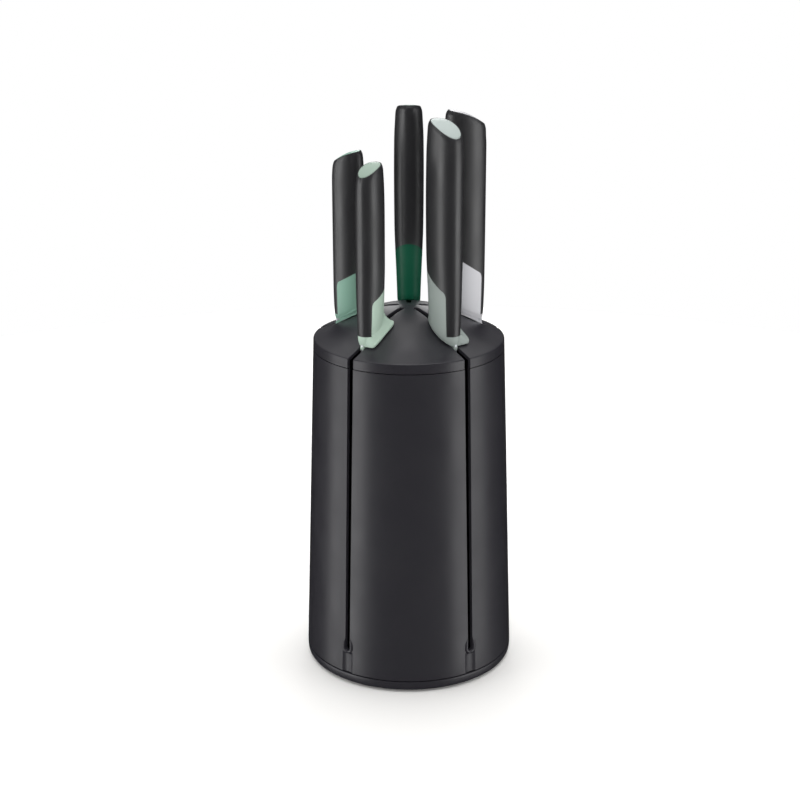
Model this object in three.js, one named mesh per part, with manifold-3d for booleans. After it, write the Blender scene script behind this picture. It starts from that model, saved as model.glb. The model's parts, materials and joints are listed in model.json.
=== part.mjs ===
// Rotating knife block with five knives.
// Millimetres, +Z up. The origin is the centre of the underside; the front of the block faces -Y.
import * as THREE from 'three';
import { mergeVertices } from 'three/addons/utils/BufferGeometryUtils.js';
import Module from 'manifold-3d';

const wasm = await Module();
wasm.setup();

// ---- Driving dimensions ----
const GAP = 0.3; // clearance between neighbouring pieces
const ROUND_STEPS = 48; // facets round the block
const SMALL_ROUND_STEPS = 16; // facets round screws, bosses and the pivot
const OVAL_STEPS = 20; // facets round a handle

const BODY = { footZ: 7.9, footR: 68.7, rimZ: 220.6, rimR: 61.6, wall: 2.4, seamZ: 214.4 };
const SLOT = { topHalf: 2.05, footHalf: 1.75, innerHalf: 1.6, footZ: 23.5, innerR: 6.4 };
const CHANNEL = { half: 4, depth: 1.2, topZ: 21 }; // shallow groove under each slot
const BASE = { underside: 1, plateTop: 4.2, rimTop: 7.1, rimInner: 64.2 };
const PIVOT = {
  postR: 7, postTop: 12.9, washerInner: 2.2, washerR: 11, washerTop: 14.2,
  headR: 4, headTop: 16.2, shankR: 1.4, shankDepth: 7,
};
const RACE = { inner: 44, outer: 50, top: 5.2 }; // the track of the slip ring
const FLOOR = { bottom: 9.9, top: 12.9, outer: 65.7 };
const BOSS = { azimuthShift: 36, circleR: 62.4, r: 4, bottom: 13.2, top: 30, holeR: 1.7 };
const FLOOR_SCREW = { headR: 3, headHeight: 1.4, shankR: 1.4, holeR: 1.9, length: 15 };
const NON_SLIP = { inner: 56, outer: 63, top: 1.8 };
const GUIDE = {
  pocketHalf: 2.2, wall: 1.4, reach: 55, plateBottom: 16.5, plateTop: 18.5, top: 212, plateR: 52,
  skirtInner: 46, skirtOuter: 49,
};

// The lid's upper surface from its peak to its rim, as radius and height.
const LID_PROFILE = [
  [0, 241.8], [8, 241.1], [16, 239.9], [24, 238], [50, 224.9], [57.9, 222], [60.9, 220.9], [61.6, 220.2],
];
const LID = { thickness: 2.4, lipDepth: 5, lipWall: 1.8 };

const BLADE = { thickness: 1.8, edge: 0.3, spineR: 49.8, spineFlat: 4, heelDrop: 12 };
const TANG = { inset: 1.2, overlap: 4 }; // inset from the core's sides, and reach down into the blade
const REST_SLOPE = -0.5; // slope of the tool rest, the same as the lid's
const SEAT_LIFT = 0.6; // height of the lowest face of a bolster above the lid
// Height above a tool rest's underside, and how far its outline has drawn in to the bolster there.
const REST_LEVELS = [[0, 0], [1.3, 0.02], [2.6, 0.42], [4.6, 0.78], [7.4, 1]];
const KEEL_HALF = 2.8; // half thickness of the keel that carries a raised tool rest on the slot's edges
const KEY_HALF = 1.2; // half thickness of the tab that drops into the slot
const CAP = { inset: 0.55, depth: 2.5, rise: 0.3, bevel: 0.8 }; // the coloured oval let into the butt
const CUTTER = { half: 30, below: 150, beyond: 80 }; // reach of the plates that trim the knives

// A handle is a stack of oval sections. Each is
// [height of its centre, slope, inner r, outer r, half thickness, bow], and bow domes the section's surface.
const LARGE_HANDLE = {
  axisR: 37.4,
  sections: [
    [232.4, REST_SLOPE, 25.4, 49.6, 6.6, 0],
    [235.2, REST_SLOPE, 25.3, 50.2, 7.6, 0],
    [243, -0.2, 25.3, 50.7, 7.9, 0],
    [256, 0, 25, 51, 8.4, 0],
    [270, 0, 24.3, 51, 9, 0],
    [286, 0, 23.7, 51, 9.5, 0],
    [318, 0, 23.3, 51, 9.7, 0],
    [342, -0.1, 23.5, 51, 9.5, 0],
    [353, -0.3, 24, 50.7, 9, 0.006],
    [359.2, -0.39, 24.6, 50.5, 8.6, 0.01],
    [361.9, -0.4, 25.8, 49.8, 7.8, 0.012],
  ],
  split: { innerR: 24, innerZ: 275.5, cornerR: 44.6, cornerZ: 261.6, tongueR: 47.1, tongueTop: 256.5 },
  tongueBottom: 232.4,
  core: { half: 6, halfThickness: 3.9, top: 306 },
  weight: { bottom: 309, top: 346 },
  restInner: 23.4, neckHalf: 7.4,
  tangTop: 300,
};
const SMALL_HANDLE = {
  axisR: 40.6,
  sections: [
    [230.8, REST_SLOPE, 30.7, 49.7, 5.8, 0],
    [233.4, REST_SLOPE, 30.6, 50.2, 6.6, 0],
    [240, -0.2, 30.6, 50.7, 6.9, 0],
    [250, 0, 30.5, 51, 7.2, 0],
    [262, 0, 30.3, 51, 7.6, 0],
    [278, 0, 30, 51, 7.9, 0],
    [304, 0, 30, 51, 7.9, 0],
    [320, -0.1, 30.1, 51, 7.7, 0],
    [329, -0.3, 30.4, 50.8, 7.3, 0.008],
    [334.2, -0.4, 30.9, 50.4, 6.9, 0.013],
    [336.6, -0.42, 31.8, 49.6, 6.3, 0.016],
  ],
  split: { innerR: 30, innerZ: 263.4, cornerR: 44.2, cornerZ: 255.4, tongueR: 46.8, tongueTop: 250.5 },
  tongueBottom: 232.4,
  core: { half: 5, halfThickness: 3.2, top: 286 },
  weight: { bottom: 289, top: 322 },
  restInner: 27, neckHalf: 6.4,
  tangTop: 280,
};

// Each knife's azimuth is measured from the front, positive towards +X.
// A blade's length runs from the lid to the tip; belly is how far up its edge starts to curve to the tip.
// A rest's wing and blind side are its half thicknesses, outer is where it ends,
// and its lift is its height above the bolster's seat.
const KNIVES = [
  {
    name: 'paring', azimuth: -36, handle: SMALL_HANDLE, colour: '#a5c2ad',
    blade: { width: 21, length: 90, belly: 34 }, rest: { wing: 9.2, blind: 4.8, outer: 49.4, lift: 0 },
  },
  {
    name: 'utility', azimuth: -108, handle: SMALL_HANDLE, colour: '#7ca594',
    blade: { width: 25, length: 115, belly: 40 }, rest: { wing: 7.6, blind: 6.6, outer: 48.4, lift: 2.8 },
  },
  {
    name: 'bread', azimuth: 180, handle: LARGE_HANDLE, colour: '#1f5c45',
    blade: { width: 33, length: 200, belly: 30 }, rest: { wing: 7.8, blind: 7.4, outer: 49.4, lift: 0 },
  },
  {
    name: 'chefs', azimuth: 108, handle: LARGE_HANDLE, colour: '#c3c3c8',
    blade: { width: 41, length: 165, belly: 90 }, rest: { wing: 9, blind: 7.8, outer: 48.4, lift: 2.8 },
  },
  {
    name: 'santoku', azimuth: 36, handle: LARGE_HANDLE, colour: '#b9c6c0',
    blade: { width: 41, length: 140, belly: 36 }, rest: { wing: 12.2, blind: 5.9, outer: 49.4, lift: 0 },
  },
];

const part = new THREE.Group();

// ---- Materials ----
const plastic = (color, roughness = 0.6) => new THREE.MeshStandardMaterial({ color, roughness });
const metal = (color, roughness = 0.3) => new THREE.MeshStandardMaterial({ color, roughness, metalness: 1 });
const FINISH = {
  block: plastic('#2f2f33', 0.62),
  inner: plastic('#1c1c1f', 0.7),
  grip: plastic('#333336', 0.5),
  acetal: plastic('#d9d8d2', 0.4),
  rubber: plastic('#141415', 0.9),
  steel: metal('#c9ccd0', 0.28),
  zinc: metal('#a9acb0', 0.4),
};

// ---- Solids from three.js geometry ----
function solid(geometry) {
  // A manifold solid from a closed geometry, with its faces turned outwards.
  const bare = new THREE.BufferGeometry();
  bare.setAttribute('position', geometry.getAttribute('position'));
  if (geometry.index) bare.setIndex(geometry.index);
  const merged = mergeVertices(bare, 1e-4);
  const source = merged.index.array;
  const triangles = [];
  for (let i = 0; i < source.length; i += 3) {
    const [a, b, c] = [source[i], source[i + 1], source[i + 2]];
    if (a !== b && b !== c && c !== a) triangles.push(a, b, c);
  }
  const vertProperties = new Float32Array(merged.getAttribute('position').array);
  const make = (list) => new wasm.Manifold(
    new wasm.Mesh({ numProp: 3, vertProperties, triVerts: new Uint32Array(list) }));
  const made = make(triangles);
  return made.volume() > 0 ? made : make(triangles.reverse());
}

function add(name, shape, material) {
  // One named mesh from a finished solid.
  const mesh = shape.getMesh();
  const geometry = new THREE.BufferGeometry();
  geometry.setAttribute('position', new THREE.BufferAttribute(mesh.vertProperties, 3));
  geometry.setIndex(new THREE.BufferAttribute(mesh.triVerts, 1));
  geometry.computeVertexNormals();
  const node = new THREE.Mesh(geometry, material);
  node.name = name;
  part.add(node);
}

function turned(profile, steps = ROUND_STEPS) {
  // A closed profile of [radius, height] pairs turned about the Z axis.
  const points = profile.map(([r, z]) => new THREE.Vector2(r, z));
  if (profile[0][0] > 0) points.push(points[0].clone());
  return solid(new THREE.LatheGeometry(points, steps).rotateX(Math.PI / 2));
}

function ring(inner, outer, bottom, top, steps = ROUND_STEPS) {
  return turned([[inner, bottom], [outer, bottom], [outer, top], [inner, top]], steps);
}

function rod(x, r, bottom, top) {
  // An upright rod whose axis stands at radius x on the local X axis.
  const geometry = new THREE.CylinderGeometry(r, r, top - bottom, SMALL_ROUND_STEPS);
  return solid(geometry.rotateX(Math.PI / 2).translate(x, 0, (bottom + top) / 2));
}

function box(low, high) {
  const size = high.map((value, axis) => value - low[axis]);
  const centre = high.map((value, axis) => (value + low[axis]) / 2);
  return solid(new THREE.BoxGeometry(...size).translate(...centre));
}

function upright(outline, half) {
  // A plate of an outline in the radial plane (radius, height), thickness 2 * half across it.
  const shape = new THREE.Shape(outline.map(([r, z]) => new THREE.Vector2(r, z)));
  const geometry = new THREE.ExtrudeGeometry(shape, { depth: 2 * half, bevelEnabled: false });
  return solid(geometry.translate(0, 0, -half).rotateX(Math.PI / 2));
}

function loft(rings) {
  // A closed solid through rings with equal numbers of points, each end closed by a fan.
  const count = rings[0].length;
  const positions = rings.flat().flatMap((point) => point.toArray());
  const index = [];
  for (let level = 0; level + 1 < rings.length; level += 1) {
    for (let i = 0; i < count; i += 1) {
      const a = level * count + i;
      const b = level * count + ((i + 1) % count);
      index.push(a, b, b + count, a, b + count, a + count);
    }
  }
  for (const [level, flip] of [[0, true], [rings.length - 1, false]]) {
    const centre = rings[level].reduce((sum, point) => sum.add(point), new THREE.Vector3());
    positions.push(...centre.divideScalar(count).toArray());
    const middle = positions.length / 3 - 1;
    for (let i = 0; i < count; i += 1) {
      const a = level * count + i;
      const b = level * count + ((i + 1) % count);
      index.push(middle, ...(flip ? [b, a] : [a, b]));
    }
  }
  const geometry = new THREE.BufferGeometry();
  geometry.setAttribute('position', new THREE.BufferAttribute(new Float32Array(positions), 3));
  geometry.setIndex(index);
  return solid(geometry);
}

function ovalRing({
  z, slope, bow = 0, inner, outer, left, right, axisR, square = 2.1, squareRight = square,
}) {
  // An oval on the surface z + slope * (r - axisR) - bow * (r - axisR)^2.
  // left and right are its half thicknesses, and square makes its corners fuller.
  const points = [];
  for (let i = 0; i < OVAL_STEPS; i += 1) {
    const angle = (2 * Math.PI * i) / OVAL_STEPS;
    const across = Math.sin(angle);
    const power = 2 / (across > 0 ? squareRight : square);
    const r = (inner + outer) / 2
      + ((outer - inner) / 2) * Math.sign(Math.cos(angle)) * Math.abs(Math.cos(angle)) ** power;
    const t = (across > 0 ? right : left) * Math.sign(across) * Math.abs(across) ** power;
    const out = r - axisR;
    points.push(new THREE.Vector3(r, t, z + slope * out - bow * out ** 2));
  }
  return points;
}

// ---- Placing ----
const atAzimuth = (shape, azimuth) => shape.rotate([0, 0, azimuth - 90]);
const everyKnife = (make) => KNIVES.map((knife) => atAzimuth(make(), knife.azimuth));
const cutAll = (shape, cutters) => cutters.reduce((rest, cutter) => rest.subtract(cutter), shape);
const joinAll = (shapes) => shapes.reduce((sum, shape) => sum.add(shape));

const bodyTaper = (BODY.footR - BODY.rimR) / (BODY.rimZ - BODY.footZ);
const bodyRadius = (z) => BODY.footR - bodyTaper * (z - BODY.footZ);

function lidHeight(r) {
  const next = LID_PROFILE.findIndex(([radius]) => radius >= r);
  const [[r0, z0], [r1, z1]] = [LID_PROFILE[Math.max(next - 1, 0)], LID_PROFILE[Math.max(next, 1)]];
  return z0 + ((z1 - z0) * (r - r0)) / (r1 - r0);
}

// ---- Carousel: shell, lid and blade guide ----
function slotCutter() {
  // Runs out through the wall; its lower end is round and it widens a little upwards.
  const shape = new THREE.Shape();
  shape.moveTo(SLOT.topHalf, BODY.rimZ + 10);
  shape.lineTo(-SLOT.topHalf, BODY.rimZ + 10);
  shape.lineTo(-SLOT.footHalf, SLOT.footZ + SLOT.footHalf);
  shape.absarc(0, SLOT.footZ + SLOT.footHalf, SLOT.footHalf, Math.PI, 2 * Math.PI);
  const depth = 40;
  const geometry = new THREE.ExtrudeGeometry(shape, { depth, bevelEnabled: false, curveSegments: 6 });
  // The shape's x goes across the slot, its y goes up, and the extrusion goes outwards.
  const frame = new THREE.Matrix4().makeBasis(
    new THREE.Vector3(0, 1, 0), new THREE.Vector3(0, 0, 1), new THREE.Vector3(1, 0, 0));
  return solid(geometry.applyMatrix4(frame).translate(BODY.rimR - 15, 0, 0));
}

function channelCutter() {
  // A shallow round-bottomed groove that follows the wall's slope.
  const radius = (CHANNEL.half ** 2 + CHANNEL.depth ** 2) / (2 * CHANNEL.depth);
  const sections = [BODY.footZ - 1, CHANNEL.topZ].map((z) => {
    const centre = bodyRadius(z) - CHANNEL.depth + radius;
    return Array.from({ length: SMALL_ROUND_STEPS }, (_, i) => {
      const angle = (2 * Math.PI * i) / SMALL_ROUND_STEPS;
      return new THREE.Vector3(centre + radius * Math.cos(angle), radius * Math.sin(angle), z);
    });
  });
  return loft(sections);
}

function bossAzimuths() {
  return KNIVES.map((knife) => knife.azimuth + BOSS.azimuthShift);
}

function shell() {
  const wall = turned([
    [BODY.footR, BODY.footZ], [bodyRadius(BODY.seamZ - GAP), BODY.seamZ - GAP],
    [bodyRadius(BODY.seamZ - GAP) - BODY.wall, BODY.seamZ - GAP], [BODY.footR - BODY.wall, BODY.footZ],
  ]);
  const open = cutAll(wall, [...everyKnife(slotCutter), ...everyKnife(channelCutter)]);
  const posts = bossAzimuths().map((azimuth) => {
    const post = rod(BOSS.circleR, BOSS.r, BOSS.bottom, BOSS.top);
    const hole = rod(BOSS.circleR, BOSS.holeR, BOSS.bottom - 1, BOSS.top - 2);
    return atAzimuth(post.subtract(hole), azimuth);
  });
  return joinAll([open, ...posts]);
}

function lid() {
  const skirtR = bodyRadius(BODY.seamZ + GAP);
  const lipOuter = bodyRadius(BODY.seamZ) - BODY.wall - GAP;
  const lipInner = lipOuter - LID.lipWall;
  const underside = [50, 24, 16, 0].filter((r) => r < lipInner)
    .map((r) => [r, lidHeight(r) - LID.thickness]);
  const blank = turned([
    ...LID_PROFILE,
    [skirtR, BODY.seamZ + GAP], [lipOuter, BODY.seamZ + GAP], [lipOuter, BODY.seamZ - LID.lipDepth],
    [lipInner, BODY.seamZ - LID.lipDepth], [lipInner, lidHeight(lipInner) - LID.thickness], ...underside,
  ]);
  const start = SLOT.innerR + SLOT.innerHalf;
  const slot = () => {
    const shape = new THREE.Shape();
    shape.absarc(start, 0, SLOT.innerHalf, Math.PI / 2, (3 * Math.PI) / 2);
    shape.lineTo(BODY.rimR, -SLOT.topHalf);
    shape.lineTo(BODY.rimR + 20, -SLOT.topHalf);
    shape.lineTo(BODY.rimR + 20, SLOT.topHalf);
    shape.lineTo(BODY.rimR, SLOT.topHalf);
    const geometry = new THREE.ExtrudeGeometry(shape, { depth: 50, bevelEnabled: false, curveSegments: 6 });
    return solid(geometry.translate(0, 0, 200));
  };
  return cutAll(blank, everyKnife(slot));
}

function bladeGuide() {
  // Ten upright walls in five pairs stand on a round plate; each pair is the pocket of one blade.
  const { pocketHalf, wall, reach, plateBottom, plateTop, top, plateR, skirtInner, skirtOuter } = GUIDE;
  const thick = pocketHalf + wall;
  const walls = joinAll(everyKnife(() => box([0, -thick, plateTop - 1], [reach, thick, top])));
  const pockets = everyKnife(() => box([-1, -pocketHalf, plateTop], [reach + 5, pocketHalf, top + 5]));
  const plate = turned([[0, plateBottom], [plateR, plateBottom], [plateR, plateTop], [0, plateTop]]);
  const skirt = ring(skirtInner, skirtOuter, FLOOR.top + GAP, plateBottom + 0.5);
  return cutAll(joinAll([plate, skirt, walls]), pockets);
}

add('carousel_shell', shell(), FINISH.block);
add('top_lid', lid(), FINISH.block);
add('blade_guide', bladeGuide(), FINISH.inner);

// ---- Turntable and base ----
function turntableFloor() {
  const { bottom, top, outer } = FLOOR;
  const bore = PIVOT.postR + GAP;
  const track = RACE.top + 2 + GAP;
  const plate = turned([
    [bore, track], [bore + 3, track], [bore + 3, bottom], [RACE.inner, bottom], [RACE.inner, track],
    [RACE.outer, track], [RACE.outer, bottom], [outer, bottom], [outer, top], [bore, top],
  ]);
  const holes = bossAzimuths().map((azimuth) => atAzimuth(
    rod(BOSS.circleR, FLOOR_SCREW.holeR, bottom - 1, top + 1), azimuth));
  return cutAll(plate, holes);
}

function stationaryBase() {
  const { underside, plateTop, rimTop, rimInner } = BASE;
  const rimOuter = BODY.footR;
  const blank = turned([
    [0, underside], [rimOuter - 1.6, underside], [rimOuter - 0.7, 1.7], [rimOuter - 0.15, 3.2],
    [rimOuter, rimTop], [rimInner, rimTop], [rimInner, plateTop], [RACE.outer, plateTop],
    [RACE.outer, RACE.top], [RACE.inner, RACE.top], [RACE.inner, plateTop],
    [PIVOT.postR, plateTop], [PIVOT.postR, PIVOT.postTop], [0, PIVOT.postTop],
  ]);
  const groove = ring(NON_SLIP.inner - GAP, NON_SLIP.outer + GAP, -1, NON_SLIP.top + GAP);
  return blank.subtract(groove).subtract(rod(0, PIVOT.shankR + GAP, plateTop, PIVOT.postTop + 1));
}

function pivotScrew() {
  const { postTop, washerTop, headR, headTop, shankR, shankDepth } = PIVOT;
  const head = turned([
    [0, washerTop + GAP], [headR, washerTop + GAP], [headR, headTop - 0.5],
    [headR - 1, headTop], [0, headTop],
  ], SMALL_ROUND_STEPS);
  return head.add(rod(0, shankR, postTop - shankDepth, washerTop + 1));
}

function floorScrew() {
  const { headR, headHeight, shankR, length } = FLOOR_SCREW;
  const headTop = FLOOR.bottom - GAP;
  const head = rod(BOSS.circleR, headR, headTop - headHeight, headTop);
  return head.add(rod(BOSS.circleR, shankR, headTop - 1, headTop - headHeight + length));
}

add('turntable_floor', turntableFloor(), FINISH.inner);
add('stationary_base', stationaryBase(), FINISH.block);
add('slip_ring', ring(RACE.inner + 0.4, RACE.outer - 0.4, RACE.top + GAP, RACE.top + 2), FINISH.acetal);
add('pivot_washer',
  ring(PIVOT.washerInner, PIVOT.washerR, PIVOT.postTop + GAP, PIVOT.washerTop), FINISH.zinc);
add('pivot_screw', pivotScrew(), FINISH.zinc);
add('non_slip_ring', ring(NON_SLIP.inner, NON_SLIP.outer, 0, NON_SLIP.top), FINISH.rubber);
bossAzimuths().forEach((azimuth, i) => {
  add(`floor_screw_${i + 1}`, atAzimuth(floorScrew(), azimuth), FINISH.zinc);
});

// ---- Knives ----
function handleEnvelope({ axisR, sections }) {
  return loft(sections.map(([z, slope, inner, outer, half, bow]) => ovalRing({
    z, slope, bow, inner, outer, left: half, right: half, axisR,
  })));
}

function restPlane({ axisR }, lift, r) {
  // Height of the tool rest's underside at radius r.
  return lidHeight(axisR) + SEAT_LIFT + lift + REST_SLOPE * (r - axisR);
}

function toolRest({ axisR, restInner, neckHalf }, { wing, blind, outer, lift }) {
  // The flared end of the bolster, parallel to the lid: a wing on one side, rounded under on the other.
  const base = restPlane({ axisR }, lift, axisR);
  return loft(REST_LEVELS.map(([height, drawn]) => {
    const mix = (from, to) => from + (to - from) * drawn;
    return ovalRing({
      z: base + height, slope: REST_SLOPE, axisR,
      inner: mix(restInner, restInner + 2.4), outer,
      left: mix(blind, neckHalf), right: mix(wing, neckHalf),
      square: 2.2, squareRight: mix(9, 2.4),
    });
  }));
}

function keyTab() {
  // A small wedge on the spine side that drops into the slot and centres the knife.
  const z = lidHeight(BLADE.spineR);
  const inner = BLADE.spineR + GAP;
  return upright([
    [inner - 5, z + 5], [inner - 5, z + 3], [inner, z + 1], [inner, z - 4.5], [inner + 1.5, z - 5.2],
    [inner + 2.5, z - 2.4], [inner + 2.1, z + 1.2], [inner + 0.4, z + 4.6],
  ], KEY_HALF);
}

function splitOutline({ split, tongueBottom }, shift) {
  // The region below the colour boundary, in radius and height; shift moves the boundary outwards.
  const { innerR, innerZ, cornerR, cornerZ, tongueR, tongueTop } = split;
  const slope = (cornerZ - innerZ) / (cornerR - innerR);
  const rise = shift * Math.hypot(1, slope);
  const outline = new THREE.Path();
  outline.moveTo(innerR - 16, CUTTER.below);
  outline.lineTo(CUTTER.beyond, CUTTER.below);
  outline.lineTo(CUTTER.beyond, tongueBottom + shift);
  outline.lineTo(tongueR + shift, tongueBottom + shift);
  outline.lineTo(tongueR + shift, tongueTop);
  outline.quadraticCurveTo(tongueR + shift, (tongueTop + cornerZ) / 2 + 1.5, cornerR, cornerZ + rise);
  outline.lineTo(innerR - 16, innerZ - slope * 16 + rise);
  return outline.getPoints(5).map((point) => [point.x, point.y]);
}

function handleBar({ axisR, core }, grow, bottom, top) {
  // A straight bar along the handle's axis, used for the core, its hole and the weight.
  const half = core.half + grow;
  const thick = core.halfThickness + grow;
  return box([axisR - half, -thick, bottom], [axisR + half, thick, top]);
}

function capBody(handle, inset, drop) {
  // The oval at the butt: the last section of the handle made smaller and sunk by drop.
  const [z, slope, inner, outer, half, bow] = handle.sections.at(-1);
  const level = (height, shrink) => ovalRing({
    z: z + height, slope, bow, axisR: handle.axisR,
    inner: inner + shrink, outer: outer - shrink, left: half - shrink, right: half - shrink,
  });
  return loft([level(-drop, inset), level(-0.1, inset), level(CAP.rise, inset + CAP.bevel)]);
}

function tang({ axisR, tangTop, core }, bottom, grow) {
  const half = core.half - TANG.inset + grow;
  const thick = BLADE.thickness / 2 + grow;
  return box([axisR - half, -thick, bottom], [axisR + half, thick, tangTop + grow]);
}

function bladeOutline(handle, { width, length, belly }) {
  // Counter-clockwise from the spine's top: heel and edge are towards the middle of the block.
  const spine = BLADE.spineR;
  const edge = spine - width;
  const top = (r) => lidHeight(r) + SEAT_LIFT - GAP;
  const heelStart = Math.max(handle.restInner + 1, edge);
  const tip = lidHeight(spine) - length;
  const path = new THREE.Path();
  path.moveTo(spine, top(spine));
  path.lineTo(heelStart, top(heelStart) - 1);
  path.quadraticCurveTo(edge + 1.5, top(heelStart) - 3, edge, top(heelStart) - BLADE.heelDrop);
  path.lineTo(edge, tip + belly);
  path.quadraticCurveTo(edge + width * 0.15, tip + belly * 0.25, spine - 3, tip);
  path.quadraticCurveTo(spine, tip + 4, spine, tip + 14);
  return path.getPoints(8).map((point) => [point.x, point.y]);
}

function groundWedge({ width }) {
  // Full thickness at the spine and thin at the edge, over the whole height of the blade.
  const half = BLADE.thickness / 2;
  const fine = BLADE.edge / 2;
  const edge = BLADE.spineR - width - 1;
  const flatEnd = BLADE.spineR - BLADE.spineFlat;
  const shape = new THREE.Shape([
    [edge, -fine], [flatEnd, -half], [60, -half], [60, half], [flatEnd, half], [edge, fine],
  ].map(([x, y]) => new THREE.Vector2(x, y)));
  return solid(new THREE.ExtrudeGeometry(shape, { depth: 300, bevelEnabled: false }));
}

function bladeBody(handle, blade) {
  const ground = upright(bladeOutline(handle, blade), BLADE.thickness).intersect(groundWedge(blade));
  return ground.add(tang(handle, lidHeight(handle.axisR) - TANG.overlap, 0));
}

function bolster(handle, rest, envelope) {
  const under = (lift, r) => [r, restPlane(handle, lift, r)];
  const { half, below, beyond } = CUTTER;
  const lower = upright([[0, below], [beyond, below], under(rest.lift, beyond), under(rest.lift, 0)], half);
  const outside = joinAll([envelope, toolRest(handle, rest)])
    .intersect(upright(splitOutline(handle, 0), half)).subtract(lower);
  const keelOuter = rest.outer - 0.6;
  const keelInner = handle.restInner + 4;
  const keel = upright([
    under(0, keelInner), under(0, keelOuter),
    under(rest.lift + 2, keelOuter), under(rest.lift + 2, keelInner),
  ], KEEL_HALF);
  const core = handleBar(handle, 0, lidHeight(handle.axisR) + 8, handle.core.top);
  return joinAll([outside, keel, keyTab(), core]).subtract(tang(handle, 200, GAP));
}

function grip(handle, envelope) {
  const recess = capBody(handle, CAP.inset - GAP, CAP.depth + 0.5).translate([0, 0, 0.2]);
  return envelope
    .subtract(upright(splitOutline(handle, GAP), CUTTER.half))
    .subtract(handleBar(handle, GAP, 200, 400))
    .subtract(recess);
}

function addKnife(knife) {
  const { name, azimuth, handle, colour, blade, rest } = knife;
  const envelope = handleEnvelope(handle);
  const coloured = plastic(colour, 0.45);
  const { weight } = handle;
  const place = (node, shape, material) => add(`${name}_${node}`, atAzimuth(shape, azimuth), material);
  place('blade', bladeBody(handle, blade), FINISH.steel);
  place('bolster', bolster(handle, rest, envelope), coloured);
  place('grip', grip(handle, envelope), FINISH.grip);
  place('weight', handleBar(handle, -GAP, weight.bottom, weight.top), FINISH.zinc);
  place('end_cap', capBody(handle, CAP.inset, CAP.depth), coloured);
}

KNIVES.forEach(addKnife);

export default part;
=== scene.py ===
# %% [markdown]
# # A rotating knife block with five knives
# The object is a round, tapered block of black moulded plastic that turns on a low base of its own.
# Five knives stand in slots that run over its tent-shaped lid and down its side.
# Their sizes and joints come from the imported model, which is loaded first and never changed.
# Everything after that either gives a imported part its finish, or makes a finer part that takes its place.

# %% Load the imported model
import json
import math

import bmesh
import bpy
from mathutils import Matrix, Vector


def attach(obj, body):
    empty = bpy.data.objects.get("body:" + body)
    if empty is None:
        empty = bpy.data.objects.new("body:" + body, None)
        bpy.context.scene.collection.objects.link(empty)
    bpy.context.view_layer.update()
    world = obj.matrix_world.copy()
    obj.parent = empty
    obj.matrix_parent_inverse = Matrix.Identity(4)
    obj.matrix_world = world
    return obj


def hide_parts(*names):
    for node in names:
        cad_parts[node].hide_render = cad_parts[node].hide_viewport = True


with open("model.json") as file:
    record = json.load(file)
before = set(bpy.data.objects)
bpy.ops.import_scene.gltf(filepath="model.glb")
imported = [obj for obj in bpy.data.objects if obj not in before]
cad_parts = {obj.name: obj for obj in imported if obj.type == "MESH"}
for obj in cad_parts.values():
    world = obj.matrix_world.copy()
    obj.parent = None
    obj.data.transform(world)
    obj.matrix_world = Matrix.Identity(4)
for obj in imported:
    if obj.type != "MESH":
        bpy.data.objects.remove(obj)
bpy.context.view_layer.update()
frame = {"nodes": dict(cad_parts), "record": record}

MM = 0.001

# %% [markdown]
# ## Colours and shader nodes
# Colours are easiest to judge as the hex values that a paint or plastics maker prints, which are sRGB.
# Cycles mixes light in linear values, so one function turns the first into the second.
# A second small function adds a shader node with its settings and links, to keep each finish short to read.

# %% Colour and node helpers
def linear(code):
    """An sRGB hex colour as the linear RGBA that shaders use."""
    values = [int(code[i:i + 2], 16) / 255 for i in (1, 3, 5)]
    return (*[v / 12.92 if v <= 0.04045 else ((v + 0.055) / 1.055) ** 2.4 for v in values], 1)


def add_node(tree, kind, settings=None, links=None):
    """One shader node: settings name its sockets or its own fields, links join sockets to outputs."""
    node = tree.nodes.new(kind)
    for key, value in (settings or {}).items():
        if isinstance(key, int) or key in node.inputs:
            node.inputs[key].default_value = value
        else:
            setattr(node, key, value)
    for key, output in (links or {}).items():
        tree.links.new(output, node.inputs[key])
    return node


def per_mm(size):
    """The scale of a noise on Object coordinates, in metres, whose features are this many mm across."""
    return 1000 / size


# %% [markdown]
# ## Moulded plastics and rubbers
# Plastic is cast in a steel mould, and the mould's surface decides the sheen.
# A spark-eroded mould leaves thousands of tiny pits, which the eye reads as a soft, matt skin.
# Here a fine noise bumps the surface as those pits do, and a broader noise moves the roughness a little,
# as plastic does where it cooled unevenly or has been handled.
# The real pits are about 0.1 mm across; they are drawn 0.3 to 0.6 mm so that they show.

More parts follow.
